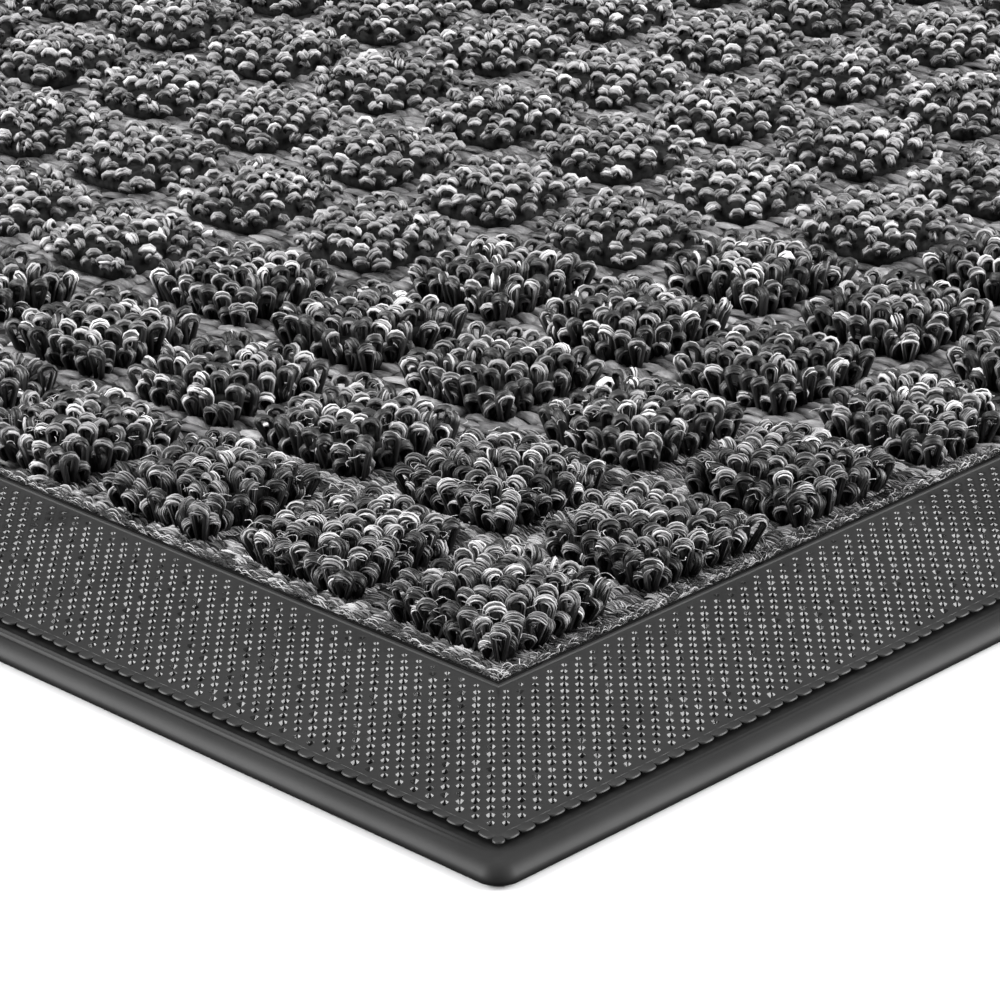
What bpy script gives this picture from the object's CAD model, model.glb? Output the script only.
import math

import bpy
import numpy as np
from mathutils import Matrix, Vector


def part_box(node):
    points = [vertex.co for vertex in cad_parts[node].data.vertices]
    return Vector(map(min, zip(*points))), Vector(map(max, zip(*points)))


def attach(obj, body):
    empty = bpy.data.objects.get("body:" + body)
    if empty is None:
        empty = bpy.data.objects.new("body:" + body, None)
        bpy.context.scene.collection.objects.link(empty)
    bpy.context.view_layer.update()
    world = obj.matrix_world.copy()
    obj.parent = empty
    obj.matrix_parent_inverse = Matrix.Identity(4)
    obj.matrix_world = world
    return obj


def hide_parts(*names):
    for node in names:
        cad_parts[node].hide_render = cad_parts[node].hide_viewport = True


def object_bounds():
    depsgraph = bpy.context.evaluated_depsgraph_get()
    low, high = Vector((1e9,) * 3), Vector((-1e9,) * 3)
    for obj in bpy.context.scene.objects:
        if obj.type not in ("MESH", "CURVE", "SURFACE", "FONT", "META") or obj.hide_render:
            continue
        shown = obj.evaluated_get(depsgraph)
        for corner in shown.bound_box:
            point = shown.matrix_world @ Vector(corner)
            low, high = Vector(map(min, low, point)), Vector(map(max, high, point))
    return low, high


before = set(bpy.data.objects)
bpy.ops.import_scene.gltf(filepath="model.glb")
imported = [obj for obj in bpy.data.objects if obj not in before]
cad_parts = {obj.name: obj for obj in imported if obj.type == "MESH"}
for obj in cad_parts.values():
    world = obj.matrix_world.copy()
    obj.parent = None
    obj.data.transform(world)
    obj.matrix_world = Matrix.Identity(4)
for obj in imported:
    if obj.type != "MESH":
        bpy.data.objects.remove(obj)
CAD_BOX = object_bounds()

# Lengths below are in millimetres, and Build.piece() turns them into metres.
MM = 0.001


# ---------------------------------------------------------------- sizes read from the frame

def box_mm(name):
    low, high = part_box(name)
    return np.array(low) / MM, np.array(high) / MM


LOW, HIGH = (np.array(corner) / MM for corner in CAD_BOX)
WIDTH, LENGTH = (HIGH - LOW)[:2]
HALF = np.array([WIDTH / 2, LENGTH / 2])

BORDER_LOW, BORDER_HIGH = box_mm("textured_border_front")
SETBACK = BORDER_LOW[1] - LOW[1]
BORDER_INNER = BORDER_HIGH[1] - LOW[1]
LEDGE_Z = BORDER_LOW[2]
BORDER_INNER_Z = BORDER_HIGH[2]
BORDER_OUTER_Z = LEDGE_Z + 0.9
EDGING_INNER = box_mm("edging_front")[1][1] - LOW[1]

CLOTH_LOW, CLOTH_HIGH = box_mm("carpet_cloth")
PILE_LOW, PILE_HIGH = box_mm("low_pile")
ROWS = sorted(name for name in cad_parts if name.startswith("pile_row_"))
ROW_BOXES = [box_mm(name) for name in ROWS]
SQUARE_SIDE = ROW_BOXES[0][1][0] - ROW_BOXES[0][0][0]
SQUARE_TOP = ROW_BOXES[0][1][2]
PITCH = (ROW_BOXES[-1][0][0] - ROW_BOXES[0][0][0]) / (len(ROWS) - 1)
ROW_LENGTH = ROW_BOXES[0][1][1] - ROW_BOXES[0][0][1]
SQUARES = int(round((ROW_LENGTH - SQUARE_SIDE) / PITCH)) + 1
ROW_X = np.array([(low[0] + high[0]) / 2 for low, high in ROW_BOXES])
SQUARE_Y = ROW_BOXES[0][0][1] + SQUARE_SIDE / 2 + PITCH * np.arange(SQUARES)


# ---------------------------------------------------------------- mesh helpers

class Build:
    """Gathers vertices, faces and per-vertex values, and makes one object of them."""

    def __init__(self):
        self.points = []
        self.quads = []
        self.tris = []
        self.flat_quads = []
        self.flat_tris = []
        self.quad_maps = []
        self.tri_maps = []
        self.values = {}
        self.count = 0
        self.cells = 0

    def add(self, points, quads=None, tris=None, **values):
        """Adds vertices, and faces numbered from the first of them, and returns their numbers."""
        points = np.asarray(points, float).reshape(-1, 3)
        if quads is not None and len(quads):
            self.quads.append(np.asarray(quads, np.int64).reshape(-1, 4) + self.count)
        if tris is not None and len(tris):
            self.tris.append(np.asarray(tris, np.int64).reshape(-1, 3) + self.count)
        for name, value in values.items():
            value = np.broadcast_to(np.asarray(value, float), (len(points),))
            self.values.setdefault(name, []).append((self.count, value))
        self.points.append(points)
        numbers = self.count + np.arange(len(points))
        self.count += len(points)
        return numbers

    def piece(self, name, material, replaces=(), sharp=None):
        """Makes the object; the faces gathered as flat keep their flat shading, and the rest are smooth."""
        points = np.concatenate(self.points) * MM
        quads = np.concatenate([np.zeros((0, 4), np.int64), *self.quads, *self.flat_quads])
        tris = np.concatenate([np.zeros((0, 3), np.int64), *self.tris, *self.flat_tris])
        smooth = []
        for faces, flat in ((quads, self.flat_quads), (tris, self.flat_tris)):
            flat_count = sum(map(len, flat))
            smooth.append(np.arange(len(faces)) < len(faces) - flat_count)
        mesh = bpy.data.meshes.new(name)
        mesh.vertices.add(len(points))
        mesh.vertices.foreach_set("co", points.astype(np.float32).ravel())
        corners = np.concatenate([quads.ravel(), tris.ravel()]).astype(np.int32)
        mesh.loops.add(len(corners))
        mesh.loops.foreach_set("vertex_index", corners)
        starts = np.concatenate([
            np.arange(len(quads)) * 4,
            len(quads) * 4 + np.arange(len(tris)) * 3,
        ]).astype(np.int32)
        mesh.polygons.add(len(starts))
        mesh.polygons.foreach_set("loop_start", starts)
        for key, parts in self.values.items():
            field = np.zeros(len(points), np.float32)
            for start, value in parts:
                field[start:start + len(value)] = value
            mesh.attributes.new(key, "FLOAT", "POINT").data.foreach_set("value", field)
        if self.quad_maps:
            places = np.concatenate([*self.quad_maps, *self.tri_maps]).ravel()
            mesh.uv_layers.new(name="OFBake").data.foreach_set("uv", places.astype(np.float32))
        mesh.update(calc_edges=True)
        if sharp:
            mesh.set_sharp_from_angle(angle=math.radians(sharp))
        # set last, because set_sharp_from_angle clears it
        mesh.polygons.foreach_set("use_smooth", np.concatenate(smooth))
        mesh.materials.append(material)
        thing = bpy.data.objects.new(name, mesh)
        bpy.context.scene.collection.objects.link(thing)
        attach(thing, "root")
        if replaces:
            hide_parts(*replaces)
        return thing


def unit(vectors):
    return vectors / np.maximum(np.linalg.norm(vectors, axis=-1, keepdims=True), 1e-9)


# the empty share at each side of a tube's cell in the map
CELL_MARGIN = 0.05


def tubes(build, paths, radii, sides, hint, **values):
    """Closed tubes along paths (n, m, 3), with hint (n, 3) lying across each path.

    radii is (n, m), or (n, m, 2) for flattened tubes.
    A value is per tube (n), per step (n, m) or per vertex (n, m, sides).
    """
    count, steps = paths.shape[:2]
    tangent = unit(np.gradient(paths, axis=1))
    across = np.broadcast_to(hint[:, None], paths.shape)
    across = unit(across - (across * tangent).sum(-1, keepdims=True) * tangent)
    normal = np.cross(tangent, across)
    turn = 2 * np.pi * np.arange(sides) / sides
    if radii.ndim == 2:
        radii = np.stack([radii, radii], -1)
    ring = (
        np.cos(turn)[:, None] * normal[:, :, None] * radii[:, :, None, None, 0]
        - np.sin(turn)[:, None] * across[:, :, None] * radii[:, :, None, None, 1]
    )
    points = paths[:, :, None] + ring
    start = np.arange(count)[:, None, None] * steps * sides
    step = np.arange(steps - 1)[None, :, None]
    side = np.arange(sides)[None, None, :]
    after = (side + 1) % sides
    quads = np.stack([
        start + step * sides + side,
        start + step * sides + after,
        start + (step + 1) * sides + after,
        start + (step + 1) * sides + side,
    ], -1).reshape(-1, 4)
    fan = np.arange(1, sides - 1)
    first = np.arange(count)[:, None] * steps * sides
    last = first + (steps - 1) * sides
    zero = np.zeros_like(fan)
    caps = np.concatenate([
        np.stack([first + zero, first + fan + 1, first + fan], -1).reshape(-1, 3),
        np.stack([last + zero, last + fan, last + fan + 1], -1).reshape(-1, 3),
    ])
    spread = {}
    around = np.abs(np.arange(sides) / sides * 2 - 1)
    for key, value in {"around": around[None, None], **values}.items():
        value = np.asarray(value, float)
        while value.ndim < 3:
            value = value[..., None]
        spread[key] = np.broadcast_to(value, (count, steps, sides)).ravel()
    build.add(points, quads, caps, **spread)
    # each tube is laid flat in a cell of its own, kept by the tube's number until lay_out() places it
    cell = build.cells + np.arange(count)
    build.cells += count
    local = np.stack([
        np.stack(np.broadcast_arrays((side + right) / sides, (step + up) / (steps - 1)), -1)
        for right, up in ((0, 0), (1, 0), (1, 1), (0, 1))
    ], -2)
    local = np.broadcast_to(CELL_MARGIN + local * (1 - 2 * CELL_MARGIN), (count, steps - 1, sides, 4, 2))
    build.quad_maps.append((cell, local))
    build.tri_maps.append(np.concatenate([np.repeat(cell, len(fan))] * 2))


def lay_out(build):
    """Turns the tubes' cells into one map of the whole piece, row by row."""
    across = max(1, math.ceil(math.sqrt(build.cells)))
    for number, (cell, local) in enumerate(build.quad_maps):
        corner = np.stack([cell % across, cell // across], -1)[:, None, None, None]
        build.quad_maps[number] = ((corner + local) / across).reshape(-1, 2)
    nip = np.array([(0.01, 0.01), (0.03, 0.01), (0.01, 0.03)])
    for number, cell in enumerate(build.tri_maps):
        corner = np.stack([cell % across, cell // across], -1)[:, None]
        build.tri_maps[number] = ((corner + nip) / across).reshape(-1, 2)


def sheet_quads(grid):
    """Quads over a grid of vertex numbers, facing up where its rows run along x and its columns along y."""
    return np.stack([grid[:-1, :-1], grid[1:, :-1], grid[1:, 1:], grid[:-1, 1:]], -1).reshape(-1, 4)


def rim_of(grid):
    """The vertex numbers round a grid's edge, anticlockwise."""
    return np.concatenate([grid[:-1, 0], grid[-1, :-1], grid[:0:-1, -1], grid[0, :0:-1]])


def add_wall(build, below, above):
    """Quads between two rings of vertex numbers, one over the other, that face outwards."""
    after = np.roll(np.arange(len(above)), -1)
    build.quads.append(np.stack([below, below[after], above[after], above], -1))


# ---------------------------------------------------------------- materials

def new_material(name):
    material = bpy.data.materials.new(name)
    material.use_nodes = True
    tree = material.node_tree
    return material, tree, tree.nodes["Principled BSDF"]


def node(tree, kind, **settings):
    made = tree.nodes.new(kind)
    for key, value in settings.items():
        if key in made.inputs:
            made.inputs[key].default_value = value
        else:
            setattr(made, key, value)
    return made


def value_of(tree, name):
    return node(tree, "ShaderNodeAttribute", attribute_name=name).outputs["Fac"]


def ramp(tree, source, stops):
    made = node(tree, "ShaderNodeValToRGB")
    elements = made.color_ramp.elements
    while len(elements) < len(stops):
        elements.new(0.5)
    for element, (place, colour) in zip(elements, stops):
        element.position = place
        element.color = (*colour, 1.0)
    tree.links.new(source, made.inputs["Fac"])
    return made.outputs["Color"]


def grey(value, warm=0.0):
    return (value * (1 + warm), value, value * (1 + warm * 1.2))


def combine(tree, **sources):
    made = node(tree, "ShaderNodeCombineXYZ")
    for axis, source in sources.items():
        tree.links.new(source, made.inputs[axis])
    return made.outputs["Vector"]


def maths(tree, operation, first, second):
    made = node(tree, "ShaderNodeMath", operation=operation)
    for socket, value in zip(made.inputs, (first, second)):
        if isinstance(value, (int, float)):
            socket.default_value = value
        else:
            tree.links.new(value, socket)
    return made.outputs["Value"]


def noise(tree, scale, detail=2.0, rough=0.5, vector=None):
    made = node(tree, "ShaderNodeTexNoise", Scale=scale, Detail=detail, Roughness=rough)
    if vector is None:
        vector = node(tree, "ShaderNodeTexCoord").outputs["Object"]
    tree.links.new(vector, made.inputs["Vector"])
    return made.outputs["Fac"]


def bump(tree, shader, height, distance, strength=1.0):
    made = node(tree, "ShaderNodeBump", Strength=strength, Distance=distance)
    tree.links.new(height, made.inputs["Height"])
    tree.links.new(made.outputs["Normal"], shader.inputs["Normal"])


def yarn_material(name, low, high):
    """Heathered yarn: tone per strand, and fine filaments that run along it."""
    material, tree, shader = new_material(name)
    tone = value_of(tree, "tone")
    place = combine(
        tree,
        X=maths(tree, "MULTIPLY", value_of(tree, "around"), 5.0),
        Y=maths(tree, "MULTIPLY", value_of(tree, "along"), 0.6),
        Z=maths(tree, "MULTIPLY", value_of(tree, "strand"), 61.0),
    )
    fine = noise(tree, 1.0, 3.0, 0.65, place)
    mixed = maths(tree, "ADD", maths(tree, "MULTIPLY", tone, 0.8), maths(tree, "MULTIPLY", fine, 0.6))
    mixed = maths(tree, "SUBTRACT", mixed, 0.2)
    colour = ramp(tree, mixed, [
        (0.0, grey(low, 0.02)),
        (0.35, grey(low * 1.8, 0.02)),
        (0.62, grey(high * 0.36, 0.015)),
        (0.84, grey(high * 0.8, 0.01)),
        (1.0, grey(high, 0.01)),
    ])
    tree.links.new(colour, shader.inputs["Base Color"])
    shader.inputs["Roughness"].default_value = 0.5
    shader.inputs["Specular IOR Level"].default_value = 0.5
    bump(tree, shader, fine, 0.00012, 0.8)
    return material


def packed_yarn_material(name):
    """Yarn deep inside the pile, where little light comes back."""
    material, tree, shader = new_material(name)
    shade = noise(tree, 900.0, 3.0, 0.6)
    tree.links.new(ramp(tree, shade, [(0.3, grey(0.005)), (0.7, grey(0.026))]), shader.inputs["Base Color"])
    shader.inputs["Roughness"].default_value = 1.0
    shader.inputs["Specular IOR Level"].default_value = 0.05
    return material


def vinyl_material(name, tone, roughness, grain, pit_roughness=None, specular=0.4):
    """Moulded vinyl, with the grain's scale and depth.

    The value under blackens what is tucked away.  The value pit polishes the border's pits and the
    strip beside the carpet; where there is no pit roughness, under dulls the surface instead.
    """
    material, tree, shader = new_material(name)
    cloud = noise(tree, 60.0, 4.0, 0.6)
    stops = [(0.0, grey(0.001)), (0.35, grey(tone * 0.85)), (0.65, grey(tone * 1.2))]
    open_air = maths(tree, "SUBTRACT", 1.0, value_of(tree, "under"))
    tree.links.new(ramp(tree, maths(tree, "MULTIPLY", cloud, open_air), stops), shader.inputs["Base Color"])
    grain_scale, grain_depth = grain
    bump(tree, shader, noise(tree, grain_scale, 3.0, 0.7), grain_depth, 0.6)
    shader.inputs["Specular IOR Level"].default_value = specular
    if pit_roughness is None:
        rough = maths(tree, "MAXIMUM", value_of(tree, "under"), roughness)
    else:
        mapped = node(tree, "ShaderNodeMapRange")
        mapped.inputs["To Min"].default_value = roughness
        mapped.inputs["To Max"].default_value = pit_roughness
        tree.links.new(value_of(tree, "pit"), mapped.inputs["Value"])
        rough = mapped.outputs["Result"]
    tree.links.new(rough, shader.inputs["Roughness"])
    return material


# ---------------------------------------------------------------- the mat's four sides

class Side:
    """One side of the mat, in its own run: s along the outer edge and u inwards from it."""

    def __init__(self, name, corner, along, inward, length):
        self.name = name
        self.corner = np.array(corner, float)
        self.along = np.array(along, float)
        self.inward = np.array(inward, float)
        self.length = length

    def place(self, run, inset, height):
        run, inset, height = np.broadcast_arrays(run, inset, height)
        flat = self.corner + run[..., None] * self.along + inset[..., None] * self.inward
        return np.concatenate([flat, height[..., None]], -1)


# In every side, s grows anticlockwise round the mat seen from above, so faces turn the same way.
SIDES = [
    Side("front", (-HALF[0], -HALF[1]), (1, 0), (0, 1), WIDTH),
    Side("right", (HALF[0], -HALF[1]), (0, 1), (-1, 0), LENGTH),
    Side("back", (HALF[0], HALF[1]), (-1, 0), (0, -1), WIDTH),
    Side("left", (-HALF[0], HALF[1]), (0, -1), (1, 0), LENGTH),
]


def ring_quads(rows):
    """Quads between neighbouring rows of vertex numbers; rows run along s and go inwards."""
    faces = [
        np.stack([outer[:-1], outer[1:], inner[1:], inner[:-1]], -1)
        for outer, inner in zip(rows, rows[1:])
    ]
    return np.concatenate(faces)


def cap(build, loop, middle, at_start):
    """Closes a mitred end: a fan over the end's vertex numbers, which run inwards over the top."""
    centre = build.add(middle)[0]
    after = np.roll(loop, -1)
    pair = (loop, after) if at_start else (after, loop)
    build.tris.append(np.stack([pair[0], pair[1], np.full(len(loop), centre)], -1))


# ---------------------------------------------------------------- moulded edging

CORNER_RADIUS = 3.0
CORNER_STEPS = 14
NOSE_SHARP_ANGLE = 60
LINE_STRENGTH = 1.5
LONG_LINES = 1.0
SHORT_LINES = 0.15


def edging_profile(lines, inner):
    """The nose's outline from under the backing round to the flange: inset, height and hidden shade.

    lines, from 0 to 1, is how strongly the two drawn lines along the top of the nose stand out.
    """
    lines = lines * LINE_STRENGTH
    return np.array([
        (5.0, 0.0, 1.0),
        (2.2, 0.0, 1.0),
        (1.25, 0.0, 1.0),
        (1.12, 0.12, 1.0),
        (0.95, 0.28, 1.0),
        (0.66, 0.42, 1.0),
        (0.36, 0.52, 1.0),
        (0.14, 0.64, 1.0),
        (0.03, 0.80, 1.0),
        (0.0, 0.96, 0.95),
        (0.02, 1.10, 0.85),
        (0.10, 1.32, 0.65),
        (0.23, 1.58, 0.42),
        (0.42, 1.86, 0.2),
        (0.66, 2.12, 0.06),
        (0.94, 2.36, 0.0),
        (1.24, 2.56, 0.0),
        (1.56, 2.72, 0.0),
        (1.80, 2.81 - 0.03 * lines, 0.0),
        (1.94, 2.85 - 0.11 * lines, 0.0),
        (2.06, 2.88 - 0.11 * lines, 0.0),
        (2.18, 2.91 + 0.03 * lines, 0.0),
        (2.32, 2.94 + 0.07 * lines, 0.0),
        (2.46, 2.97 - 0.02 * lines, 0.0),
        (2.56, 2.98 - 0.13 * lines, 0.0),
        (2.68, 2.99 - 0.12 * lines, 0.0),
        (2.80, 3.0 + 0.05 * lines, 0.0),
        (2.96, 3.0 + 0.07 * lines, 0.0),
        (3.12, 3.0, 0.0),
        (3.45, 3.0, 0.0),
        (4.0, 3.0, 1.0),
        (8.0, 3.0, 1.0),
        (inner, 3.0, 1.0),
        (inner, 2.0, 1.0),
        (5.0, 2.0, 1.0),
    ])


def build_edging(side, material, strength):
    """One length of edging with half of each corner's round, its drawn lines as strong as strength."""
    build = Build()
    near = np.geomspace(3.6, side.length / 2, 30)
    run = np.concatenate([near, (side.length - near)[::-1][1:]])
    fade = np.clip((np.minimum(run, side.length - run) - CORNER_RADIUS) / 16.0, 0, 1)
    fade = fade * fade * (3 - 2 * fade) * strength
    shares = np.concatenate([np.zeros(CORNER_STEPS), fade, np.zeros(CORNER_STEPS)])
    shown = np.stack([edging_profile(share, EDGING_INNER) for share in shares])
    rings, steps = shown.shape[:2]
    inset, height, under = shown[:, :, 0], shown[:, :, 1], shown[:, :, 2]
    radius = np.maximum(CORNER_RADIUS - inset, 0.02)
    centre = inset + radius
    turn = np.linspace(math.pi / 4, 0, CORNER_STEPS)
    turn = np.concatenate([turn, np.zeros(len(run)), turn[::-1]])[:, None]
    number = np.arange(rings)[:, None]
    along = np.where(number < CORNER_STEPS, centre - radius * np.sin(turn), 0.0)
    last = number >= rings - CORNER_STEPS
    along = np.where(last, side.length - centre + radius * np.sin(turn), along)
    middle = (number >= CORNER_STEPS) & ~last
    share = np.zeros(rings)
    share[CORNER_STEPS:-CORNER_STEPS] = (run - CORNER_RADIUS) / (side.length - 2 * CORNER_RADIUS)
    stretched = centre + (side.length - 2 * centre) * share[:, None]
    along = np.where(middle, stretched, along)
    deep = np.where(middle, inset, centre - radius * np.cos(turn))
    numbers = build.add(side.place(along, deep, height), under=under.ravel()).reshape(rings, steps)
    rows = [numbers[:, step] for step in range(steps)] + [numbers[:, 0]]
    build.quads.append(ring_quads(rows))
    for at_start, loop in ((True, numbers[0]), (False, numbers[-1])):
        place = 2.0 if at_start else side.length - 2.0
        cap(build, loop, side.place(place, 2.0, 1.5), at_start)
    build.piece("nose_" + side.name, material, ["edging_" + side.name], NOSE_SHARP_ANGLE)


# ---------------------------------------------------------------- textured border

# The pits sit on a square lattice turned 45 degrees to the mat's edges, so along an edge and across
# it they step by the same half diagonal.  An even count of steps fits each side.
PIT_PITCH = 1.65
STEP = PIT_PITCH / math.sqrt(2)
SIDE_STEPS = {length: 2 * int(round(length / STEP / 2)) for length in (WIDTH, LENGTH)}
LOBE_LINE = 4
LAST_LINE = 23
PIT_DEPTH = 0.69
PIT_SHARES = [1.0, 1.0, 1.0, 1.0, 1.0, 1.0, 0.9, 0.6]
PIT_TURN = -0.06
NEAR_REACH = 100.0
NOTCH_INSET = 4.36
TIP_INSET = 3.42
UNDERCUT_INSET = 5.2
BORDER_SHARP_ANGLE = 36
BORDER_SEED = 11
# where the fan that closes a mitred end has its middle
MITRE_INSET = 15.0
MITRE_HEIGHT = 3.7


def border_height(inset):
    """Top of the border: a gentle slope that is a little fuller in the middle."""
    share = np.clip((inset - SETBACK) / (BORDER_INNER - SETBACK), 0, 1)
    return BORDER_OUTER_Z + (BORDER_INNER_Z - 0.25 - BORDER_OUTER_Z) * share + 0.22 * np.sin(np.pi * share)


def column_place(side, column):
    """The place along a side of a lattice column, stretched a hair so that both corners fit."""
    total = SIDE_STEPS[side.length]
    edge = LAST_LINE + 2
    share = np.clip((column - edge) / (total - 2 * edge), 0, 1)
    return column * STEP + (side.length - total * STEP) * share


def near_corner(side, run):
    """True for the stretch beside the mat's front left corner, which is modelled most finely."""
    if side.name == "front":
        return run < NEAR_REACH
    if side.name == "left":
        return side.length - run < NEAR_REACH
    return np.zeros(np.shape(run), bool)


def build_border(side, material, rng):
    """One side's border: a lattice of pits, with lobes along its outer edge."""
    build = Build()
    total = SIDE_STEPS[side.length]
    columns, lines = np.meshgrid(np.arange(total + 1), np.arange(LOBE_LINE, LAST_LINE + 2), indexing="ij")
    fits = (columns >= lines) & (columns <= total - lines)
    even = (columns + lines) % 2 == 0
    keep = fits & even
    number = np.full(columns.shape, -1)
    deep = lines[keep] * STEP
    places = side.place(column_place(side, columns[keep]), deep, border_height(deep))
    number[keep] = build.add(places, pit=0.0)

    def corner(column, line):
        return number[column, line - LOBE_LINE]

    centred = fits & ~even & (lines > LOBE_LINE) & (lines <= LAST_LINE)
    centred &= (columns - 1 >= lines) & (columns + 1 <= total - lines)
    column, line = columns[centred], lines[centred]
    run = column_place(side, column)
    inset = line * STEP
    corners = np.stack([
        corner(column, line - 1), corner(column + 1, line),
        corner(column, line + 1), corner(column - 1, line),
    ])
    near = near_corner(side, run)
    for fine in (True, False):
        chosen = near if fine else ~near
        add_pits(build, side, run[chosen], inset[chosen], corners[:, chosen], rng, fine)

    lip = add_lobes(build, side, corner, total, rng)
    inner = add_bead(build, side, corner, total)
    build.tris.append(zip_rows(build, inner[-1], lip["rows"][-1]))
    diagonal = np.arange(LOBE_LINE, LAST_LINE + 2)
    for end in (0, -1):
        spine = corner(diagonal, diagonal) if end == 0 else corner(total - diagonal, diagonal)
        loop = [row[end] for row in lip["rows"][::-1]] + [lip["domes"][end], *spine]
        loop += [row[end] for row in inner]
        middle = MITRE_INSET if end == 0 else side.length - MITRE_INSET
        cap(build, np.array(loop), side.place(middle, MITRE_INSET, MITRE_HEIGHT), end == 0)
    build.piece("pitted_border_" + side.name, material, ["textured_border_" + side.name],
                BORDER_SHARP_ANGLE)


def ring_faces(first, second):
    """Quads between two rings of vertex numbers that have as many points as each other."""
    first_after, second_after = np.roll(first, -1, 0), np.roll(second, -1, 0)
    return np.stack([first, first_after, second_after, second], -1).reshape(-1, 4)


def link_cell(build, corners, rim):
    """Faces from a cell's four corners (outer, right, inner, left) to the rim inside it.

    A rim of four has one point facing each of the cell's edges, and a rim of eight has two.
    """
    per_edge = len(rim) // 4
    for number in range(4):
        after = (number + 1) % 4
        first = per_edge * number
        edge = [rim[(first + step) % len(rim)] for step in range(per_edge, 2 * per_edge)]
        build.tris.append(np.stack([corners[number], corners[after], edge[0]], -1))
        for one, two in zip(edge, edge[1:]):
            build.tris.append(np.stack([corners[after], two, one], -1))
        build.tris.append(np.stack([corners[number], edge[0], rim[first + per_edge - 1]], -1))


# A pit's mouth seen from above: a shield with nipped corners, its narrow end towards the mat's front
# left.  Each point is (across, along) the mat's diagonal.
MOUTH = np.array([
    (-0.08, -0.74), (0.08, -0.74), (0.46, -0.14), (0.52, 0.20),
    (0.13, 0.59), (-0.13, 0.59), (-0.52, 0.20), (-0.46, -0.14),
])
PLAIN_MOUTH = np.array([(0.0, -0.68), (0.52, 0.04), (0.0, 0.60), (-0.52, 0.04)])


def mouth_spots(side, mouth):
    """The mouth's points in a side's own run and inset, starting from the same one in every side."""
    diagonal = math.sqrt(0.5)
    east = (mouth[:, 0] + mouth[:, 1]) * diagonal
    north = (mouth[:, 1] - mouth[:, 0]) * diagonal
    flat = np.stack([east, north], -1)
    local = np.stack([flat @ side.along, flat @ side.inward], -1)
    quarter_turns = [other.name for other in SIDES].index(side.name)
    return np.roll(local, -quarter_turns * len(mouth) // 4, axis=0)


def add_pits(build, side, run, inset, corners, rng, fine):
    """One pit in each lattice cell: a narrow shoulder round the mouth, then steep glossy walls."""
    many = len(run)
    if not many:
        return
    from_bead = np.clip((27.4 - inset) / 3.0, 0.0, 1.0)
    from_lip = np.clip((inset - 4.6) / 1.6, 0.0, 1.0)
    fade = (0.45 + 0.55 * from_bead) * (0.7 + 0.3 * from_lip)
    size = 0.93 * fade ** 0.6 * rng.uniform(0.88, 1.05, many)
    depth = PIT_DEPTH * fade * rng.choice(PIT_SHARES, many) * rng.uniform(0.92, 1.05, many)
    turn = rng.normal(PIT_TURN, 0.06, many)
    shift = rng.normal(0, 0.02, (2, many))
    spots = mouth_spots(side, MOUTH if fine else PLAIN_MOUTH)

    def ring(share, drop, skew=0.0, slide=(0.0, 0.0), **values):
        cosine, sine = np.cos(turn + skew), np.sin(turn + skew)
        along = share * size * (spots[:, :1] * cosine - spots[:, 1:] * sine)
        deep = share * size * (spots[:, :1] * sine + spots[:, 1:] * cosine)
        deep = inset + shift[1] + slide[1] + deep
        points = side.place(run + shift[0] + slide[0] + along, deep, border_height(deep) - drop)
        return build.add(points, **values).reshape(len(spots), many)

    if fine:
        shoulder = ring(1.12, 0.0, pit=0.0)
        link_cell(build, corners, shoulder)
        lip = ring(1.0, 0.02, pit=1.0)
        slide = rng.normal(0, 0.03, (2, many))
        bottom = ring(rng.uniform(0.12, 0.26, many), depth, rng.normal(0, 0.1, many), slide, pit=1.0)
        build.quads.append(ring_faces(shoulder, lip))
        build.flat_quads.append(ring_faces(lip, bottom))
        build.flat_quads.append(bottom[[0, 1, 2, 3]].T)
        build.flat_quads.append(bottom[[0, 3, 4, 7]].T)
        build.flat_quads.append(bottom[[4, 5, 6, 7]].T)
        return
    lip = ring(1.0, 0.02, pit=0.9)
    link_cell(build, corners, lip)
    apex = build.add(side.place(run + shift[0], inset + shift[1], border_height(inset) - depth), pit=1.0)
    for one, two in zip(lip, np.roll(lip, -1, 0)):
        build.flat_tris.append(np.stack([one, two, apex], -1))


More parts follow.
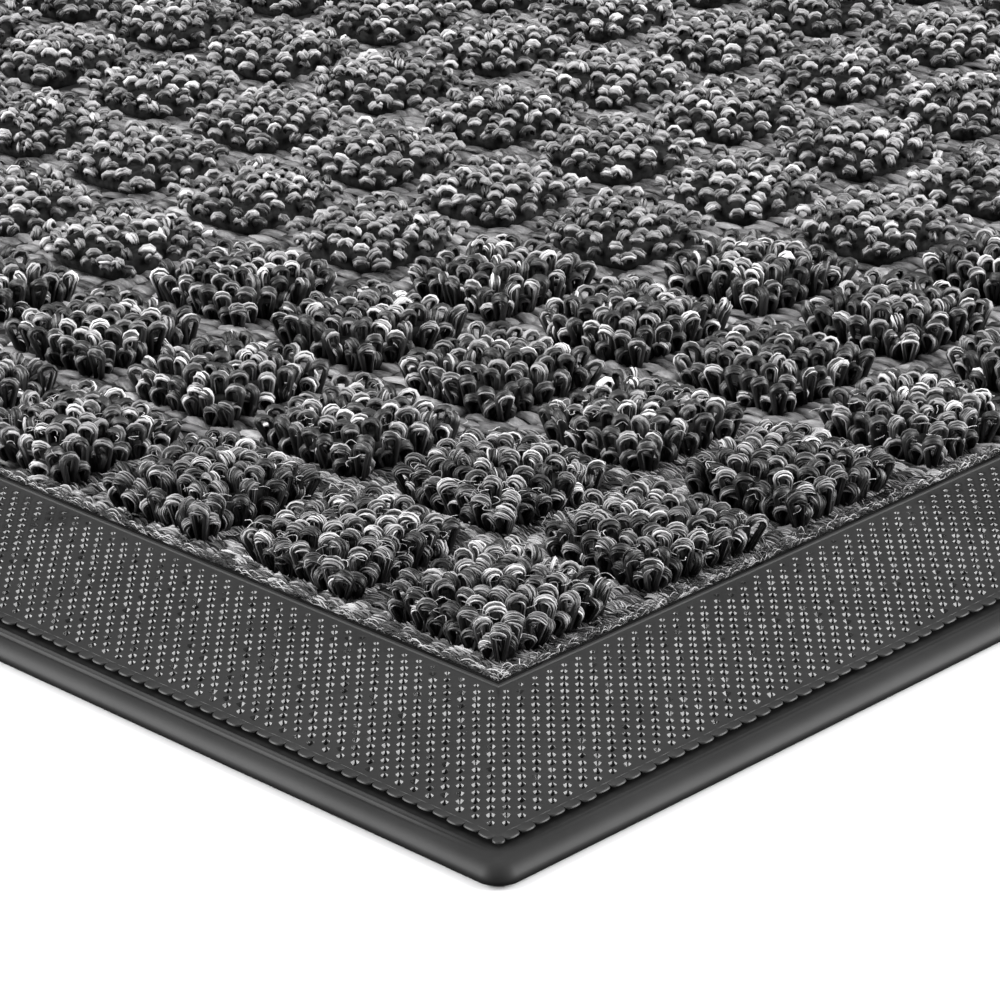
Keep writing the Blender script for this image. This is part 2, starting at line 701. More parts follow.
def add_lobes(build, side, corner, total, rng):
    """The outermost cells have no pit: each is a rounded lump that hangs over the ledge."""
    centres = np.arange(LOBE_LINE + 1, total - LOBE_LINE, 2)
    shares = np.arange(1, 8) / 8 * math.pi
    bulge = rng.uniform(0.7, 1.2, len(centres))
    middle = column_place(side, centres)
    fullness = np.where(np.abs(shares - math.pi / 2) < 1.1, 1.08, 1.0)
    arc_s = middle[:, None] - STEP * np.cos(shares) * fullness
    arc_u = NOTCH_INSET - (NOTCH_INSET - TIP_INSET) * bulge[:, None] * np.sin(shares) ** 0.62
    arc_sink = np.broadcast_to(1 - np.sin(shares), arc_s.shape)
    notch_s = column_place(side, centres + 1)[:, None]
    # every lobe is its arc and then the notch that follows it
    run = np.concatenate([arc_s, notch_s], 1)
    inset = np.concatenate([arc_u, np.full_like(notch_s, NOTCH_INSET)], 1)
    sink = np.concatenate([arc_sink, np.ones_like(notch_s)], 1)
    per_lobe = run.shape[1]

    # the corner's own lobe is a small ball on the diagonal, half of it on each side
    ball, ball_radius = 4.03, 0.69
    turn = np.radians(np.linspace(-135, 19, 9))
    ball_s = ball + ball_radius * np.cos(turn)
    ball_u = ball + ball_radius * np.sin(turn)
    first_notch = column_place(side, LOBE_LINE)
    ball_sink = np.linspace(0.05, 1, 9) ** 3
    start = (
        np.append(ball_s[:-1], first_notch),
        np.append(ball_u[:-1], NOTCH_INSET),
        ball_sink,
    )
    run = np.concatenate([start[0], run.ravel()[:-1], side.length - start[0][::-1]])
    inset = np.concatenate([start[1], inset.ravel()[:-1], start[1][::-1]])
    sink = np.concatenate([start[2], sink.ravel()[:-1], start[2][::-1]])

    # rows from the crest of the lobes down into the undercut: how far in, and how far down
    target_s = np.clip(run, UNDERCUT_INSET, side.length - UNDERCUT_INSET)
    way = np.stack([target_s - run, UNDERCUT_INSET - inset])
    far = np.linalg.norm(way, axis=0)
    way = way / far
    top = border_height(inset)
    rows = []
    for inward, drop, follow, under in (
        (0.26, 0.0, 0.02, 0.0), (0.12, 0.035, 0.05, 0.0), (0.03, 0.11, 0.06, 0.2), (0.0, 0.21, 0.04, 0.5),
        (0.05, 0.31, 0.0, 0.9), (0.3, 0.37, 0.0, 1.0), (1.0, 0.39, 0.0, 1.0),
    ):
        step = np.minimum(inward, far)
        points = side.place(run + way[0] * step, inset + way[1] * step, top - drop - follow * sink)
        rows.append(build.add(points, pit=0.0, under=under))
    rows.append(build.add(side.place(target_s, UNDERCUT_INSET, LEDGE_Z), pit=0.0, under=1.0))
    build.quads.append(ring_quads(rows[::-1]))

    crest = rows[0]
    first = len(start[0]) - 1
    starts = first + per_lobe * np.arange(len(centres))
    dome_s, dome_u = middle, np.full(len(centres), 4.6)
    rise = 0.02 + rng.uniform(-0.03, 0.05, len(centres))
    domes = build.add(side.place(dome_s, dome_u, border_height(dome_u) + rise), pit=0.0)
    for step in range(per_lobe):
        build.tris.append(np.stack([crest[starts + step], crest[starts + step + 1], domes], -1))
    round_back = [
        crest[starts + per_lobe], corner(centres + 1, LOBE_LINE), corner(centres, LOBE_LINE + 1),
        corner(centres - 1, LOBE_LINE), crest[starts],
    ]
    for one, two in zip(round_back, round_back[1:]):
        build.tris.append(np.stack([one, two, domes], -1))

    peak = 4.14
    peaks = side.place(np.array([peak, side.length - peak]), peak, border_height(peak) + 0.03)
    ends = build.add(peaks, pit=0.0)
    count = len(start[0])
    for step in range(count - 1):
        build.tris.append(np.array([[crest[step], crest[step + 1], ends[0]]]))
        build.tris.append(np.array([[crest[-step - 2], crest[-step - 1], ends[1]]]))
    build.tris.append(np.array([[crest[count - 1], corner(LOBE_LINE, LOBE_LINE), ends[0]]]))
    build.tris.append(np.array([[corner(total - LOBE_LINE, LOBE_LINE), crest[-count], ends[1]]]))
    return {"rows": rows, "domes": ends}


def add_bead(build, side, corner, total):
    """The smooth strip between the pits and the carpet, black beside the carpet, and its inner wall."""
    last = LAST_LINE + 1
    columns = np.arange(last, total - last + 1, 2)
    edge = corner(columns, last)
    between = corner(columns[:-1] + 1, LAST_LINE)
    build.tris.append(np.stack([edge[:-1], between, edge[1:]], -1))
    start = last * STEP
    run = column_place(side, columns)
    share = (run - start) / (side.length - 2 * start)
    top = BORDER_INNER_Z
    rows = [edge]
    for inset, height, under in (
        (28.05, top - 0.08, 0.0), (28.32, top - 0.065, 0.0), (28.36, top - 0.06, 1.0),
        (28.9, top - 0.03, 1.0), (29.0, top - 0.62, 1.0), (29.15, top - 0.75, 1.0),
        (BORDER_INNER, top - 0.75, 1.0),
        (BORDER_INNER, LEDGE_Z, 1.0),
    ):
        spread = inset + (side.length - 2 * inset) * share
        rows.append(build.add(side.place(spread, inset, height), pit=under, under=under))
    build.quads.append(ring_quads(rows))
    return rows[1:]


def zip_rows(build, first, second):
    """Triangles between two rows of unlike counts, stepping whichever is behind along the row."""
    points = np.concatenate(build.points)
    along = points[first[-1]] - points[first[0]]
    along = along / np.linalg.norm(along)
    places = [points[row] @ along for row in (first, second)]
    places = [(place - place[0]) / (place[-1] - place[0]) for place in places]
    faces = []
    one = two = 0
    while one < len(first) - 1 or two < len(second) - 1:
        if two == len(second) - 1 or (one < len(first) - 1 and places[0][one + 1] <= places[1][two + 1]):
            faces.append((first[one], first[one + 1], second[two]))
            one += 1
        else:
            faces.append((first[one], second[two + 1], second[two]))
            two += 1
    return np.array(faces)


# ---------------------------------------------------------------- pile

LOOP_HALF = 0.92
BUNDLE = (0.58, 0.92)
# a level's loops across a square, their pitch, their size, and the loops that hang on each flank
GRIDS = [(7, 2.62, 1.0, 6), (7, 2.62, 1.0, 5), (7, 2.62, 1.02, 4), (6, 3.1, 1.18, 3)]
# a level's strands in a loop, their steps, their radius and the share that stray; the last has none
STRANDS = [(22, 9, 0.115, 0.16), (7, 7, 0.26, 0.05), (4, 6, 0.38, 0.0)]
TITLES = ["square_%02d", "middle", "beyond", "far"]
SLAB_Z = PILE_LOW[2] + 1.15
ARCH_SWEEP = math.radians(224)
GOLDEN_ANGLE = 2.39996
CORE_SIDES = 16
PILE_SEED = 100
# levels 0, 1 and 2 reach this many squares from the corner, and level 2 keeps this near its diagonal
LEVEL_REACHES = (2, 6, 16)
BEYOND_SPREAD = 9


def square_loops(centre_x, centre_y, level, rng):
    """Where a raised square's loops stand, how high they reach and how they lean.

    A grid of loops makes the top, and more of them hang round its flanks, lower down.
    """
    count = len(centre_x)
    loops_across, pitch, size_share, skirt = GRIDS[level]
    grid = (np.arange(loops_across) - (loops_across - 1) / 2) * pitch
    across, along = (axis.ravel() for axis in np.meshgrid(grid, grid, indexing="ij"))
    reach = grid[-1]
    # the tufting steps part of a pitch from one row of loops to the next
    odd = np.round((across + reach) / pitch).astype(int) % 2
    along = along + (odd - 0.5) * pitch * 0.4
    edge = np.clip(np.maximum(np.abs(across), np.abs(along)) / reach, 0, 1)
    both = np.clip(np.minimum(np.abs(across), np.abs(along)) / reach, 0, 1)
    outer = np.clip((edge - 0.75) / 0.25, 0, 1)
    top = SQUARE_TOP + 0.7 - 0.35 * edge ** 2 - 0.3 * outer - 0.35 * both ** 4
    line = (np.arange(skirt) - (skirt - 1) / 2) * (2 * reach + 0.4) / skirt
    flank = np.full(skirt, reach + 0.25)
    across = np.concatenate([across, line, line, flank, -flank])
    along = np.concatenate([along, flank, -flank, line, line])
    top = np.concatenate([top, np.full(4 * skirt, SQUARE_TOP - 1.9)])
    push = np.concatenate([outer * 0.8, np.full(4 * skirt, 0.45)])
    size = (count, len(across))
    x = centre_x[:, None] + across + rng.normal(0, 0.24, size)
    y = centre_y[:, None] + along + rng.normal(0, 0.24, size)
    top = top + rng.normal(0, 0.26, size)
    yaw = rng.normal(0, 0.55, size) + math.radians(128)
    push = push * rng.uniform(0.6, 1.3, size)
    lean = np.stack([across / reach * push, along / reach * push], -1) + rng.normal(0, 0.15, (*size, 2))
    tone = np.clip(rng.normal(0.44, 0.2, size), 0.02, 0.98)
    scale = rng.normal(size_share, 0.08, size)
    return [value.reshape(-1, *value.shape[2:]) for value in (x, y, top, yaw, lean, tone, scale)]


def loop_frames(loops, steps, legs):
    """Each loop's centre line as an arch that closes in at its foot, and its two cross directions."""
    x, y, top, yaw, lean, _, scale = loops
    half = LOOP_HALF * scale
    swept = np.linspace(-ARCH_SWEEP / 2, ARCH_SWEEP / 2, steps)
    out = np.sin(swept)[None] * half[:, None]
    rise = (np.cos(swept)[None] - 1) * half[:, None] * 0.84
    centre_top = top - BUNDLE[0]
    if legs:
        foot = np.minimum(SLAB_Z + 0.2 - centre_top, rise[:, 0] - 0.3)
        out = np.concatenate([-0.3 * half[:, None], out, 0.3 * half[:, None]], 1)
        rise = np.concatenate([foot[:, None], rise, foot[:, None]], 1)
    forward = np.stack([np.cos(yaw), np.sin(yaw), np.zeros_like(yaw)], -1)
    side = np.stack([-np.sin(yaw), np.cos(yaw), np.zeros_like(yaw)], -1)
    height = centre_top[:, None] + rise
    above = np.clip(1 + rise / 3.6, 0, 1)
    flat = np.stack([x, y], -1)[:, None] + out[..., None] * forward[:, None, :2]
    flat = flat + lean[:, None] * above[..., None]
    sunk = height - 0.15 * np.linalg.norm(lean, axis=-1)[:, None] * above
    # a leaning loop's bundle tips with it
    tip = np.concatenate([np.zeros((len(x), 2)), -(side[:, :2] * lean).sum(-1, keepdims=True) * 0.9], -1)
    return np.concatenate([flat, sunk[..., None]], -1), unit(side + tip)


def strand_paths(paths, side, strands, spread, rng, twist=0.35, stray=0.1):
    """Strands that run round a loop together, offset from its centre line within a flat bundle."""
    count, steps = paths.shape[:2]
    tangent = unit(np.gradient(paths, axis=1))
    across = unit(side[:, None] - (side[:, None] * tangent).sum(-1, keepdims=True) * tangent)
    normal = np.cross(tangent, across)
    where = np.linspace(0, 1, steps)
    golden = np.arange(strands) * GOLDEN_ANGLE
    turn = golden[None] + rng.uniform(0, 2 * np.pi, (count, 1)) + rng.normal(0, 0.3, (count, strands))
    reach = np.sqrt((np.arange(strands) + 1.2) / strands)[None] * rng.uniform(0.88, 1.08, (count, strands))
    loose = rng.random((count, strands)) < stray
    reach = np.where(loose, reach * rng.uniform(1.1, 1.5, (count, strands)), reach)
    wander = rng.normal(0, 1, (2, count, strands, 1))
    wander = wander * np.sin(2 * np.pi * where + rng.uniform(0, 6.28, (count, strands, 1)))
    spin = rng.choice([-1, 1], (count, 1, 1)) * twist * 2 * np.pi * (where - 0.5)
    angle = turn[..., None] + spin
    pinch = 0.72 + 0.28 * np.sin(np.pi * where)
    radial = reach[..., None] * pinch
    in_plane = (radial * np.cos(angle) * spread[0] + 0.07 * wander[0])[..., None]
    sideways = (radial * np.sin(angle) * spread[1] + 0.09 * wander[1])[..., None]
    made = paths[:, None] + in_plane * normal[:, None] + sideways * across[:, None]
    return made.reshape(count * strands, steps, 3), np.repeat(side, strands, axis=0)


def arc_lengths(paths):
    gaps = np.linalg.norm(np.diff(paths, axis=1), axis=-1)
    return np.concatenate([np.zeros((len(paths), 1)), np.cumsum(gaps, axis=1)], 1)


def add_yarn(build, paths, radii, sides, hint, tone, rng):
    """Tubes of yarn, each with a number of its own that sets its filaments apart."""
    numbers = rng.random(len(paths))
    tubes(build, paths, radii, sides, hint, tone=tone, along=arc_lengths(paths), strand=numbers)


def calmer(tone):
    """Tones drawn in towards the middle, for loops too coarse to carry the full contrast."""
    return 0.54 + (tone - 0.5) * 0.45


def add_strand_loops(build, loops, level, rng):
    """Each loop as a bundle of strands, round a dark core where they are fine enough to need one."""
    strands, steps, radius, stray = STRANDS[level]
    cored = level < 2
    paths, side = loop_frames(loops, steps, cored)
    tone = loops[5]
    spread = (BUNDLE[0] - radius, BUNDLE[1] - radius)
    made, hint = strand_paths(paths, side, strands, spread, rng, stray=stray)
    many = len(made)
    thick = radius * rng.uniform(0.75, 1.2, many)
    where = np.linspace(0, 1, made.shape[1])
    taper = 0.7 + 0.3 * np.sin(np.pi * where)
    if not cored:
        tone = calmer(tone)
    tones = np.clip(np.repeat(tone, strands) + rng.normal(0, 0.2 if cored else 0.14, many), 0, 1)
    tones = tones[:, None] * (0.35 + 0.65 * np.sin(np.pi * where) ** 0.7)
    add_yarn(build, made, thick[:, None] * taper, 3, hint, tones, rng)
    if cored:
        core = np.broadcast_to([BUNDLE[0] * 0.72, BUNDLE[1] * 0.74], (*paths.shape[:2], 2))
        add_yarn(build, paths, core, 4, side, tone * 0.25, rng)


def add_plain_loops(build, loops, rng):
    """Each loop as one ridged tube, with a tone to each ridge."""
    steps = sides = 4
    paths, side = loop_frames(loops, steps, False)
    many = len(paths)
    where = np.linspace(0, 1, steps)
    taper = 0.75 + 0.25 * np.sin(np.pi * where)
    thick = (taper * loops[6][:, None])[..., None] * np.array(BUNDLE)
    tones = np.clip(calmer(loops[5])[:, None, None] + rng.normal(0, 0.16, (many, 1, sides)), 0, 1)
    tones = np.broadcast_to(tones, (many, steps, sides)) * (0.55 + 0.45 * np.sin(np.pi * where))[:, None]
    add_yarn(build, paths, thick, sides, side, tones, rng)


def add_cores(build, centre_x, centre_y):
    """A dark mound of packed yarn inside each square, so that nothing shows between its loops."""
    rings = [
        (7.8, SLAB_Z - 0.2), (7.8, SLAB_Z + 1.0), (7.6, SLAB_Z + 2.0), (6.8, SQUARE_TOP - 2.2),
        (4.0, SQUARE_TOP - 1.9),
    ]
    turn = np.arange(CORE_SIDES) / CORE_SIDES * 2 * np.pi
    shape = np.maximum(np.abs(np.cos(turn)), np.abs(np.sin(turn)))
    ring = np.stack([np.cos(turn), np.sin(turn)], -1) / (shape[:, None] ** 0.75)
    count = len(centre_x)
    look = {"tone": 0.0, "along": 0.0, "strand": 0.5, "around": 0.5}
    points = []
    for half, height in rings:
        flat = np.stack([centre_x, centre_y], -1)[:, None] + ring * half
        points.append(np.concatenate([flat, np.full((count, CORE_SIDES, 1), height)], -1))
    shell = build.add(np.stack(points, 1), **look).reshape(count, len(rings), CORE_SIDES)
    peak = build.add(np.stack([centre_x, centre_y, np.full(count, SQUARE_TOP - 1.8)], -1), **look)
    base = build.add(np.stack([centre_x, centre_y, np.full(count, SLAB_Z - 0.2)], -1), **look)
    turned = np.roll(shell, -1, axis=2)
    for low, high in zip(range(len(rings) - 1), range(1, len(rings))):
        faces = np.stack([shell[:, low], turned[:, low], turned[:, high], shell[:, high]], -1)
        build.quads.append(faces.reshape(-1, 4))
    for one, two, tip in ((shell[:, -1], turned[:, -1], peak), (turned[:, 0], shell[:, 0], base)):
        faces = np.stack([one, two, np.repeat(tip[:, None], CORE_SIDES, 1)], -1)
        build.tris.append(faces.reshape(-1, 3))


def build_cores(material):
    for row, name in enumerate(ROWS):
        build = Build()
        add_cores(build, np.full(SQUARES, ROW_X[row]), SQUARE_Y)
        build.piece("mound_" + name[-2:], material, [name])


def square_level(row, place):
    """How finely a square's loops are modelled: 0 beside the front left corner, 3 far from it."""
    level = sum(row + place > reach for reach in LEVEL_REACHES)
    return 3 if level == 2 and abs(row - place) > BEYOND_SPREAD else level


def build_pile(material):
    """The raised squares' loops: a piece for each of the nearest squares, and by row for the others."""
    for row, name in enumerate(ROWS):
        rng = np.random.default_rng(PILE_SEED + row)
        levels = np.array([square_level(row, place) for place in range(SQUARES)])
        for level in range(len(GRIDS)):
            chosen = np.flatnonzero(levels == level)
            if not len(chosen):
                continue
            groups = [chosen] if level else [[place] for place in chosen]
            for group in groups:
                build = Build()
                centre_y = SQUARE_Y[group]
                centre_x = np.full(len(group), ROW_X[row])
                loops = square_loops(centre_x, centre_y, level, rng)
                if level < len(STRANDS):
                    add_strand_loops(build, loops, level, rng)
                else:
                    add_plain_loops(build, loops, rng)
                lay_out(build)
                title = TITLES[level] if level else TITLES[level] % (group[0] + 1)
                build.piece("loops_%s_%s" % (name[-2:], title), material, [name])


# ---------------------------------------------------------------- low pile and cloth

FAR_BANDS = 6
FRAY_STEPS = 7
STRAY_STEPS = 12
STRAY_REACH = 10.2
SLAB_GRID = (134, 210)
CLOTH_GRID = (90, 140)
SLAB_SEED, STITCH_SEED, FRAY_SEED, STRAY_SEED = 5, 23, 31, 41


def grid_over(low, high, counts):
    """A grid of places over a box's plan."""
    axes = [np.linspace(*ends) for ends in zip(low[:2], high[:2], counts)]
    return np.meshgrid(*axes, indexing="ij")


def bowed(paths, side, rng, *sways):
    """Paths bowed sideways by one half wave for each sway, then two, and so on."""
    where = np.linspace(0, 1, paths.shape[1])
    bow = 0
    for waves, sway in enumerate(sways, 1):
        bow = bow + rng.normal(0, sway, (len(paths), 1)) * np.sin(waves * np.pi * where)
    return paths + bow[..., None] * side[:, None]


def build_slab(material):
    """The low pile's dark ground, with a gently uneven top."""
    build = Build()
    low, high = PILE_LOW, PILE_HIGH
    rng = np.random.default_rng(SLAB_SEED)
    grid_x, grid_y = grid_over(low, high, SLAB_GRID)
    uneven = rng.normal(0, 0.08, grid_x.shape)
    look = {"tone": 0.1, "strand": 0.3, "around": 0.5}
    points = np.stack([grid_x, grid_y, SLAB_Z + uneven], -1)
    top = build.add(points, along=grid_y.ravel(), **look).reshape(grid_x.shape)
    build.quads.append(sheet_quads(top))
    rim = rim_of(top)
    rim_points = np.concatenate(build.points)[rim]
    rim_points[:, 2] = low[2]
    foot = build.add(rim_points, along=0.0, **look)
    add_wall(build, foot, rim)
    middle = build.add([(low[0] + high[0]) / 2, (low[1] + high[1]) / 2, low[2]], along=0.0, **look)
    build.tris.append(np.stack([np.roll(foot, -1), foot, np.full(len(rim), middle)], -1))
    build.piece("pile_ground", material, ["low_pile"])


def stitch_paths(x, y, z, heading, length, height, steps):
    """Low stitches: each rises from the ground, runs along its heading and dips back in."""
    where = np.linspace(0, 1, steps)
    run = (where - 0.5) * length[:, None]
    rise = np.sin(np.pi * where) * height[:, None]
    ways = np.stack([np.cos(heading), np.sin(heading)], -1)
    flat = np.stack([x, y], -1)[:, None] + run[..., None] * ways[:, None]
    side = np.stack([-np.sin(heading), np.cos(heading), np.zeros_like(heading)], -1)
    return np.concatenate([flat, (z[:, None] + rise)[..., None]], -1), side


def low_stitches(rng, pitch_x, pitch_y):
    """Where stitches stand over the field, clear of the raised squares, and which are near the corner."""
    xs = np.arange(PILE_LOW[0] + 0.95, PILE_HIGH[0] - 0.3, pitch_x)
    ys = np.arange(PILE_LOW[1] + 1.9, PILE_HIGH[1] - 0.6, pitch_y)
    x, y = (axis.ravel() for axis in np.meshgrid(xs, ys, indexing="ij"))
    y = y + rng.uniform(-0.6, 0.6, len(y))
    x = x + rng.normal(0, 0.18, len(x))
    off_x = np.abs((x - ROW_X[0] + PITCH / 2) % PITCH - PITCH / 2)
    off_y = np.abs((y - SQUARE_Y[0] + PITCH / 2) % PITCH - PITCH / 2)
    inside_x = (x > ROW_X[0] - PITCH / 2) & (x < ROW_X[-1] + PITCH / 2)
    inside_y = (y > SQUARE_Y[0] - PITCH / 2) & (y < SQUARE_Y[-1] + PITCH / 2)
    keep = ~((off_x < 7.9) & (off_y < 7.4) & inside_x & inside_y)
    x, y = x[keep], y[keep]
    from_corner = (x - PILE_LOW[0]) + (y - PILE_LOW[1])
    apart = np.abs((x - PILE_LOW[0]) - (y - PILE_LOW[1]))
    near = (from_corner < 105) & (apart < 85)
    return x, y, near


def build_low_pile(material):
    """The channels' stitches: bundles of strands near the front left corner, and plain ones elsewhere."""
    rng = np.random.default_rng(STITCH_SEED)
    for strands, pitch_x, pitch_y in ((9, 1.45, 2.5), (0, 2.3, 4.3)):
        x, y, near = low_stitches(rng, pitch_x, pitch_y)
        chosen = near if strands else ~near
        sx, sy = x[chosen], y[chosen]
        many = len(sx)
        heading = math.pi / 2 + rng.normal(0, 0.22, many)
        length = rng.uniform(2.6, 3.9, many) * (pitch_y / 2.5) ** 0.6
        height = rng.uniform(0.3, 0.55, many)
        tone = np.clip(rng.normal(0.52, 0.27, many), 0, 1)
        ground = np.full(many, SLAB_Z - 0.12)
        if strands:
            paths, side = stitch_paths(sx, sy, ground, heading, length, height, 8)
            for number, group in enumerate(np.array_split(np.arange(many), 2)):
                build = Build()
                bundle = (paths[group], side[group], strands, (0.14, 0.8))
                made, hint = strand_paths(*bundle, rng, twist=0.08, stray=0.08)
                tones = np.clip(np.repeat(tone[group], strands) + rng.normal(0, 0.2, len(made)), 0, 1)
                thick = np.full(made.shape[:2], 0.115) * rng.uniform(0.7, 1.2, (len(made), 1))
                add_yarn(build, made, thick, 3, hint, tones, rng)
                lay_out(build)
                build.piece("stitches_near_%d" % (number + 1), material, ["low_pile"])
            continue
        bands = np.digitize(sx, np.linspace(PILE_LOW[0], PILE_HIGH[0], FAR_BANDS + 1)[1:-1])
        for band in range(FAR_BANDS):
            group = bands == band
            build = Build()
            paths, side = stitch_paths(sx[group], sy[group], ground[group], heading[group], length[group],
                                       height[group], 4)
            thick = np.broadcast_to([0.36, 1.25], (*paths.shape[:2], 2))
            add_yarn(build, paths, thick, 4, side, calmer(tone[group]), rng)
            lay_out(build)
            build.piece("stitches_far_%d" % (band + 1), material, ["low_pile"])


def build_frays(material):
    """Cut yarn ends along the carpet's front and left margins, pressed against the border."""
    rng = np.random.default_rng(FRAY_SEED)
    build = Build()
    reach = 110.0
    sets = []
    # along the left margin the yarn lies parallel to the edge
    many = 800
    sets.append((
        PILE_LOW[0] + np.abs(rng.normal(0.1, 0.55, many)), PILE_LOW[1] + rng.uniform(0, reach, many),
        math.pi / 2 + rng.normal(0, 0.16, many), rng.uniform(1.8, 4.2, many),
    ))
    # along the front margin it is cut across, and the ends are combed over sideways
    many = 800
    sets.append((
        PILE_LOW[0] + rng.uniform(0, reach, many), PILE_LOW[1] + np.abs(rng.normal(0.1, 0.5, many)),
        rng.normal(0, 0.3, many), rng.uniform(1.5, 3.4, many),
    ))
    many = 450
    sets.append((
        PILE_LOW[0] + rng.uniform(0, reach, many), PILE_LOW[1] + rng.uniform(0.2, 2.4, many),
        math.pi / 2 + rng.normal(0, 0.75, many), rng.uniform(1.2, 2.8, many),
    ))
    for x, y, heading, length in sets:
        many = len(x)
        height = rng.uniform(0.3, 1.0, many)
        ground = np.full(many, SLAB_Z + 0.05)
        paths, side = stitch_paths(x, y, ground, heading, length, height, FRAY_STEPS)
        paths = bowed(paths, side, rng, 0.25)
        limit = PILE_LOW[:2] + 0.02
        paths[..., :2] = np.maximum(paths[..., :2], limit)
        thick = np.broadcast_to(rng.uniform(0.035, 0.07, (many, 1)), paths.shape[:2])
        tones = np.where(rng.random(many) < 0.3, rng.uniform(0.85, 1.0, many), rng.uniform(0.0, 0.15, many))
        add_yarn(build, paths, thick, 3, side, tones, rng)
    lay_out(build)
    build.piece("cut_ends", material, ["low_pile"])


def build_strays(material):
    """Fine loose filaments that stand off the nearest squares."""
    rng = np.random.default_rng(STRAY_SEED)
    build = Build()
    for row in range(4):
        for place in range(4 - row):
            many = 110 if row + place < 2 else 60
            x = ROW_X[row] + rng.uniform(-STRAY_REACH, STRAY_REACH, many)
            y = SQUARE_Y[place] + rng.uniform(-STRAY_REACH, STRAY_REACH, many)
            edge = np.maximum(np.abs(x - ROW_X[row]), np.abs(y - SQUARE_Y[place])) / STRAY_REACH
            z = SQUARE_TOP - 0.7 - 2.6 * np.clip((edge - 0.75) / 0.25, 0, 1) * rng.random(many)
            heading = rng.uniform(0, 2 * np.pi, many)
            length = rng.uniform(1.0, 2.6, many)
            height = rng.uniform(0.0, 0.55, many)
            paths, side = stitch_paths(x, y, z, heading, length, height, STRAY_STEPS)
            paths = bowed(paths, side, rng, 0.5, 0.25)
            thick = np.broadcast_to(rng.uniform(0.025, 0.045, (many, 1)), paths.shape[:2])
            tones = np.clip(rng.normal(0.85, 0.15, many), 0, 1)
            add_yarn(build, paths, thick, 3, side, tones, rng)
    lay_out(build)
    build.piece("loose_filaments", material)


def build_cloth(material):
    """The woven ground the yarn is held by: over-and-under relief on a thin slab."""
    build = Build()
    low, high = CLOTH_LOW, CLOTH_HIGH
    grid_x, grid_y = grid_over(low, high, CLOTH_GRID)
    step_x, step_y = np.indices(grid_x.shape)
    relief = 0.04 * np.where((step_x + step_y) % 2 == 0, 1.0, 0.0)
    top = build.add(np.stack([grid_x, grid_y, high[2] - relief], -1)).reshape(grid_x.shape)
    bottom = build.add(np.stack([grid_x, grid_y, low[2] + relief], -1)).reshape(grid_x.shape)
    build.quads.append(sheet_quads(top))
    build.quads.append(sheet_quads(bottom)[:, [0, 3, 2, 1]])
    add_wall(build, rim_of(bottom), rim_of(top))
    cloth = build.piece("woven_ground", material, ["carpet_cloth"])


# ---------------------------------------------------------------- studio

def build_floor():
    reach = 12.0
    material, _, shader = new_material("studio_floor")
    shader.inputs["Base Color"].default_value = (0.86, 0.86, 0.865, 1)
    shader.inputs["Roughness"].default_value = 0.6
    mesh = bpy.data.meshes.new("floor")
    corners = [(-reach, -reach, 0), (reach, -reach, 0), (reach, reach, 0), (-reach, reach, 0)]
    mesh.from_pydata(corners, [], [(0, 1, 2, 3)])
    mesh.materials.append(material)
    floor = bpy.data.objects.new("floor", mesh)
    bpy.context.scene.collection.objects.link(floor)
    floor.location.z = -0.0001


def add_light(name, place, target, size, power):
    data = bpy.data.lights.new(name, "AREA")
    data.shape = "RECTANGLE"
    data.size, data.size_y = size
    data.energy = power
    lamp = bpy.data.objects.new(name, data)
    bpy.context.scene.collection.objects.link(lamp)
    lamp.location = place
    lamp.rotation_mode = "QUATERNION"
    lamp.rotation_quaternion = (Vector(target) - Vector(place)).to_track_quat("-Z", "Y")


def build_studio():
    """A dim world, one soft light overhead and one low soft box along each side of the near corner."""
    world = bpy.data.worlds.new("studio")
    world.use_nodes = True
    background = world.node_tree.nodes["Background"]
    background.inputs["Color"].default_value = (1, 1, 1, 1)
    background.inputs["Strength"].default_value = 0.14
    bpy.context.scene.world = world
    corner = Vector((LOW[0] * MM, LOW[1] * MM, 0))
    # each light's place from the corner and its size, in metres, and its power in watts
    for name, offset, size, power in (
        ("overhead", (0.25, 0.25, 1.3), (1.2, 1.2), 10),
        ("left_box", (-0.78, 0.78, 0.50), (1.0, 0.7), 38),
        ("right_box", (0.78, -0.78, 0.50), (1.0, 0.7), 40),
    ):
        add_light(name, corner + Vector(offset), corner, size, power)


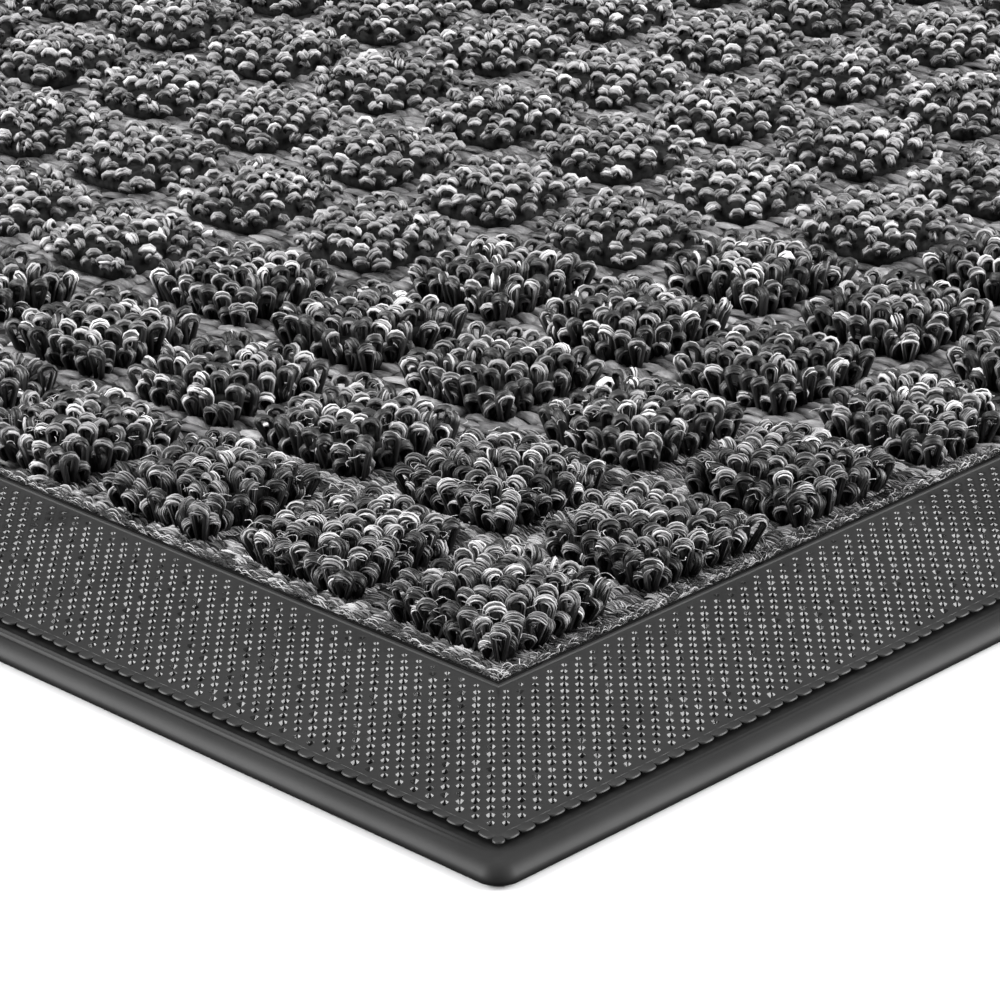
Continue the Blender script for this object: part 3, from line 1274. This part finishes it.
def build_camera():
    """A long lens that looks down at the front left corner, along the corner's diagonal."""
    data = bpy.data.cameras.new("camera")
    data.sensor_width = 36.0
    data.lens = 153.7
    data.clip_start = 0.01
    camera = bpy.data.objects.new("camera", data)
    bpy.context.scene.collection.objects.link(camera)
    heading = math.radians(45.554)
    tilt = math.radians(23.293)
    roll = math.radians(-1.353)
    flat = math.cos(tilt)
    forward = Vector((math.cos(heading) * flat, math.sin(heading) * flat, -math.sin(tilt)))
    right = Vector((math.sin(heading), -math.cos(heading), 0))
    up = right.cross(forward)
    turned_right = right * math.cos(roll) + up * math.sin(roll)
    turned_up = -right * math.sin(roll) + up * math.cos(roll)
    corner = Vector((LOW[0], LOW[1], 0)) * MM
    aim = Vector((74.09, 74.03, 0)) * MM
    target = corner + aim
    distance = 0.54058
    place = target - forward * distance
    columns = Matrix((turned_right, turned_up, -forward)).transposed()
    camera.matrix_world = Matrix.Translation(place) @ columns.to_4x4()
    bpy.context.scene.camera = camera


def main():
    edging = vinyl_material("edging_vinyl", tone=0.017, roughness=0.48, grain=(900.0, 0.00001), specular=0.12)
    border = vinyl_material("border_vinyl", tone=0.012, roughness=0.5, grain=(2600.0, 0.00003),
                            pit_roughness=0.16, specular=0.34)
    backing = vinyl_material("backing_vinyl", tone=0.02, roughness=0.6, grain=(500.0, 0.00006))
    bonding = vinyl_material("bonding_compound", tone=0.05, roughness=0.7, grain=(300.0, 0.0001))
    raised = yarn_material("raised_pile_yarn", 0.009, 0.78)
    low = yarn_material("low_pile_yarn", 0.012, 0.66)
    cloth = yarn_material("woven_cloth", 0.05, 0.3)
    shadow = packed_yarn_material("packed_yarn")
    for side in SIDES:
        build_edging(side, edging, LONG_LINES if side.name in ("left", "right") else SHORT_LINES)
        build_border(side, border, np.random.default_rng(BORDER_SEED))
    build_cores(shadow)
    build_pile(raised)
    build_slab(low)
    build_low_pile(low)
    build_frays(low)
    build_strays(raised)
    build_cloth(cloth)
    for name, material in (("backing_sheet", backing), ("bonding_layer", bonding)):
        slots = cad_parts[name].data.materials
        slots.clear()
        slots.append(material)
    build_floor()
    build_studio()
    build_camera()
    bpy.context.scene.view_settings.view_transform = "Standard"


main()
